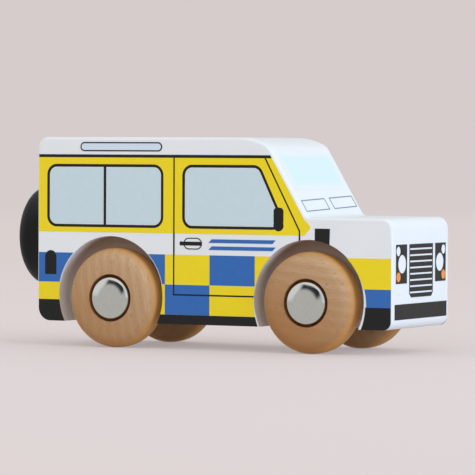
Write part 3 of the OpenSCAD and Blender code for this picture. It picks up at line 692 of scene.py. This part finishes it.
caps = [
    ("hub_cap_front_right", "axle_clip_front_right", "front_axle_set", front_axle_x, -1),
    ("hub_cap_front_left", "axle_clip_front_left", "front_axle_set", front_axle_x, 1),
    ("hub_cap_rear_right", "axle_clip_rear_right", "rear_axle_set", rear_axle_x, -1),
    ("hub_cap_rear_left", "axle_clip_rear_left", "rear_axle_set", rear_axle_x, 1),
]
for node, clip_node, body_name, axle_x, side in caps:
    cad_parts[clip_node].material_slots[0].material = spring
    rim_y = side * (cap_seat_y + cap_rim_h)
    bm = bmesh.new()
    rim_low = bm.verts.new((axle_x + cap_r, side * cap_seat_y, axle_z))
    rim_high = bm.verts.new((axle_x + cap_r, rim_y, axle_z))
    bm.edges.new((rim_low, rim_high))
    shoulder = bmesh.ops.spin(
        bm, geom=[rim_high], cent=(axle_x + shoulder_in, rim_y, axle_z), axis=(0, 0, side),
        angle=shoulder_turn, steps=cap_arc_steps,
    )
    crown_start = [item for item in shoulder["geom_last"] if isinstance(item, bmesh.types.BMVert)]
    bmesh.ops.spin(
        bm, geom=crown_start, cent=(axle_x, rim_y - side * crown_drop, axle_z), axis=(0, 0, side),
        angle=crown_turn, steps=cap_arc_steps,
    )
    turn(bm, axle_x, axle_z)
    bmesh.ops.solidify(bm, geom=bm.faces[:], thickness=cap_wall)
    cap = made("plated_" + node, bm)
    cap.data.materials.append(plating)
    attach(cap, body_name)
    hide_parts(node)

# Spare wheel
# A wooden disc turned with a broad outer round and a small inner one, painted black,
# and glued flat against the car's rear face on a short beech dowel.
spare_r = 15.5 * mm
spare_w = 10.9 * mm
spare_inner_r = 2 * mm
spare_outer_r = 4.2 * mm
bm = bmesh.new()
profile = [
    (0, spare_w, 0),
    (0, dowel_hole_depth, 0),
    (dowel_hole_r, dowel_hole_depth, 0),
    (dowel_hole_r, 0, 0),
    (spare_r, 0, spare_inner_r),
    (spare_r, spare_w, spare_outer_r),
]
outline(bm, [((r, depth, 0), bend) for r, depth, bend in profile])
turn(bm, 0, 0)
bmesh.ops.rotate(bm, verts=bm.verts[:], cent=(0, 0, 0), matrix=Matrix.Rotation(math.radians(90), 3, "Z"))
bmesh.ops.translate(bm, verts=bm.verts[:], vec=(tail_x, 0, dowel_z))
spare = made("black_spare_wheel", bm)

# Satin black enamel over turned wood: nearly flat black, with low rings left by the lathe
# and a slightly greyer, rubbed look in patches.
rubbed_patch = 3 * mm
lathe_ring = 0.8 * mm
lathe_depth = 0.04 * mm
black, tree, surface, place = finish_named("satin_black_enamel_on_turned_wood")
centred = add(tree, "ShaderNodeMapping", [("Vector", place), ("Location", (-tail_x, 0, -dowel_z))])
rubbed = spread(tree, place, (rubbed_patch, rubbed_patch, rubbed_patch), detail=4.0)
tone = add(
    tree, "ShaderNodeMix",
    [("Factor", rubbed), ("A", linear("#141518")), ("B", linear("#101114"))],
    data_type="RGBA",
)
tree.links.new(tone.outputs["Result"], surface.inputs["Base Color"])
gloss = add(tree, "ShaderNodeMapRange", [("Value", rubbed), ("To Min", 0.36), ("To Max", 0.5)])
tree.links.new(gloss.outputs[0], surface.inputs["Roughness"])
lathe = add(
    tree, "ShaderNodeTexWave",
    [("Vector", centred.outputs[0]), ("Scale", wave_length / lathe_ring), ("Distortion", 0.6)],
    wave_type="RINGS", rings_direction="X",
)
rings = add(
    tree, "ShaderNodeBump",
    [("Height", lathe.outputs["Fac"]), ("Strength", 0.15), ("Distance", lathe_depth)],
)
tree.links.new(rings.outputs[0], surface.inputs["Normal"])
surface.inputs["Specular IOR Level"].default_value = 0.2
spare.data.materials.append(black)
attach(spare, "car_body")
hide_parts("spare_wheel")

# The dowel is plain beech, with its grain along its length.
dowel_fibre_size = (7 * mm, 0.4 * mm, 0.4 * mm)
dowel_wood, tree, surface, place = finish_named("beech_dowel")
fibres = spread(tree, place, dowel_fibre_size, detail=4.0)
tone = add(
    tree, "ShaderNodeMix",
    [("Factor", fibres), ("A", linear("#cba682")), ("B", linear("#ab8055"))],
    data_type="RGBA",
)
tree.links.new(tone.outputs["Result"], surface.inputs["Base Color"])
surface.inputs["Roughness"].default_value = 0.6
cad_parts["spare_wheel_dowel"].material_slots[0].material = dowel_wood

# Studio
# A broad pale pink paper floor that runs back into an even backdrop, in a room with even light,
# with a cool window in front of the car, which brightens its nose and windscreen, and a soft lamp
# at its right side.
floor_half = 40.0
near_floor = 0.7
far_floor = 2.7
backdrop_colour = "#d5cccb"
mirrored_grey = "#d0cec9"
bm = bmesh.new()
bmesh.ops.create_grid(bm, x_segments=1, y_segments=1, size=floor_half)
floor = made("studio_floor", bm)
paper, tree, surface, place = finish_named("pale_pink_paper")
distance = add(tree, "ShaderNodeVectorMath", [(0, place)], operation="LENGTH")
far_share = add(
    tree, "ShaderNodeMapRange",
    [("Value", distance.outputs["Value"]), ("From Min", near_floor), ("From Max", far_floor)],
    interpolation_type="SMOOTHSTEP",
)
tone = add(
    tree, "ShaderNodeMix",
    [("Factor", far_share.outputs[0]), ("A", linear("#e2d8d7")), ("B", linear("#e2d9d8"))],
    data_type="RGBA",
)
tree.links.new(tone.outputs["Result"], surface.inputs["Base Color"])
surface.inputs["Roughness"].default_value = 0.9
surface.inputs["Specular IOR Level"].default_value = 0.1
# The paper glows a little to the camera, which keeps the car's shadow soft and pale, and far away
# it takes the backdrop's colour. The caps mirror it as the grey of the dim room behind the camera.
ray = add(tree, "ShaderNodeLightPath")
glow_tone = add(
    tree, "ShaderNodeMix",
    [("Factor", far_share.outputs[0]), ("A", linear("#e3d9d8")), ("B", linear(backdrop_colour))],
    data_type="RGBA",
)
glow = add(tree, "ShaderNodeEmission", [("Color", glow_tone.outputs["Result"]), ("Strength", 1.0)])
glow_share = add(
    tree, "ShaderNodeMapRange",
    [("Value", far_share.outputs[0]), ("To Min", 0.4), ("To Max", 1.0)],
)
seen_glow = add(
    tree, "ShaderNodeMath",
    [(0, glow_share.outputs[0]), (1, ray.outputs["Is Camera Ray"])],
    operation="MULTIPLY",
)
glowing = add(
    tree, "ShaderNodeMixShader",
    [("Fac", seen_glow.outputs[0]), (1, surface.outputs[0]), (2, glow.outputs[0])],
)
mirrored = add(tree, "ShaderNodeEmission", [("Color", linear(mirrored_grey)), ("Strength", 1.0)])
shown = add(
    tree, "ShaderNodeMixShader",
    [("Fac", ray.outputs["Is Glossy Ray"]), (1, glowing.outputs[0]), (2, mirrored.outputs[0])],
)
tree.links.new(shown.outputs[0], tree.nodes["Material Output"].inputs["Surface"])
floor.data.materials.append(paper)

world = bpy.data.worlds.new("studio")
bpy.context.scene.world = world
world.use_nodes = True
tree = world.node_tree
tree.nodes.clear()
room = add(tree, "ShaderNodeBackground", [("Color", linear("#fffefc")), ("Strength", 0.84)])
backdrop = add(tree, "ShaderNodeBackground", [("Color", linear(backdrop_colour)), ("Strength", 1.0)])

# What shiny pieces mirror: a grey room, a dark corner over the camera's shoulder, a bright ceiling
# and left wall, the grey behind the camera, and the window. Each is a round patch of the sky, with
# the cosines at which it starts and is full.
direction = add(tree, "ShaderNodeTexCoord").outputs["Generated"]
mirrored_tone = linear(mirrored_grey)
for toward, starts, full, colour in (
    ((-0.16, -0.85, 0.49), 0.84, 0.93, "#2e3138"),
    ((0, 0, 1), 0.56, 0.68, "#fffdf8"),
    ((-0.85, -0.3, 0.45), 0.84, 0.95, "#f4f6f6"),
    ((-0.4, -0.91, -0.08), 0.81, 0.88, mirrored_grey),
    ((0.95, -0.25, 0.2), 0.6, 0.9, "#e8f4ff"),
):
    lined_up = add(
        tree, "ShaderNodeVectorMath",
        [(0, direction), (1, Vector(toward).normalized())],
        operation="DOT_PRODUCT",
    )
    patch = add(
        tree, "ShaderNodeMapRange",
        [("Value", lined_up.outputs["Value"]), ("From Min", starts), ("From Max", full)],
        interpolation_type="SMOOTHSTEP",
    )
    patched = add(
        tree, "ShaderNodeMix",
        [("Factor", patch.outputs[0]), ("A", mirrored_tone), ("B", linear(colour))],
        data_type="RGBA",
    )
    mirrored_tone = patched.outputs["Result"]
mirrored = add(tree, "ShaderNodeBackground", [("Color", mirrored_tone), ("Strength", 1.0)])
ray = add(tree, "ShaderNodeLightPath")
reflected = add(
    tree, "ShaderNodeMixShader",
    [("Fac", ray.outputs["Is Glossy Ray"]), (1, room.outputs[0]), (2, mirrored.outputs[0])],
)
shown = add(
    tree, "ShaderNodeMixShader",
    [("Fac", ray.outputs["Is Camera Ray"]), (1, reflected.outputs[0]), (2, backdrop.outputs[0])],
)
add(tree, "ShaderNodeOutputWorld", [("Surface", shown.outputs[0])])

# Each lamp has its place and size in metres, its beam in degrees and its power in watts.
lit_point = Vector((0, 0, 30 * mm))
lamps = [
    ("window_light", (1.15, -0.25, 0.3), 0.5, 60, 0.92, "#c4dfff"),
    ("fill_light", (-0.4, -1.4, 0.6), 1.0, 180, 2.7, "#f0f5ff"),
]
for lamp_name, lamp_place, lamp_size, beam, power, colour in lamps:
    lamp = bpy.data.lights.new(lamp_name, "AREA")
    lamp.shape = "DISK"
    lamp.size = lamp_size
    lamp.spread = math.radians(beam)
    lamp.energy = power
    lamp.color = linear(colour)[:3]
    holder = bpy.data.objects.new(lamp_name, lamp)
    holder.location = lamp_place
    aim = lit_point - Vector(lamp_place)
    holder.rotation_euler = aim.to_track_quat("-Z", "Y").to_euler()
    holder.visible_glossy = False
    bpy.context.scene.collection.objects.link(holder)

# The camera stands about a metre away at the car's right front, a little lower than its roof.
camera_place = (0.49144, -0.93220, 0.05968)
camera_turn = 0.4816443
camera_pitch = 0.0251266
camera_roll = 0.00422408
lens = bpy.data.cameras.new("camera")
lens.sensor_width = 36.0
lens.lens = 264.06
lens.clip_end = 100.0
camera = bpy.data.objects.new("camera", lens)
right = Vector((math.cos(camera_turn), math.sin(camera_turn), 0))
back = Vector((
    math.sin(camera_turn) * math.cos(camera_pitch),
    -math.cos(camera_turn) * math.cos(camera_pitch),
    math.sin(camera_pitch),
))
up = back.cross(right)
level_turn = Matrix((right, up, back)).transposed().to_4x4()
roll = Matrix.Rotation(camera_roll, 4, "Z")
camera.matrix_world = Matrix.Translation(camera_place) @ level_turn @ roll
bpy.context.scene.collection.objects.link(camera)
bpy.context.scene.camera = camera
bpy.context.scene.view_settings.view_transform = "Standard"
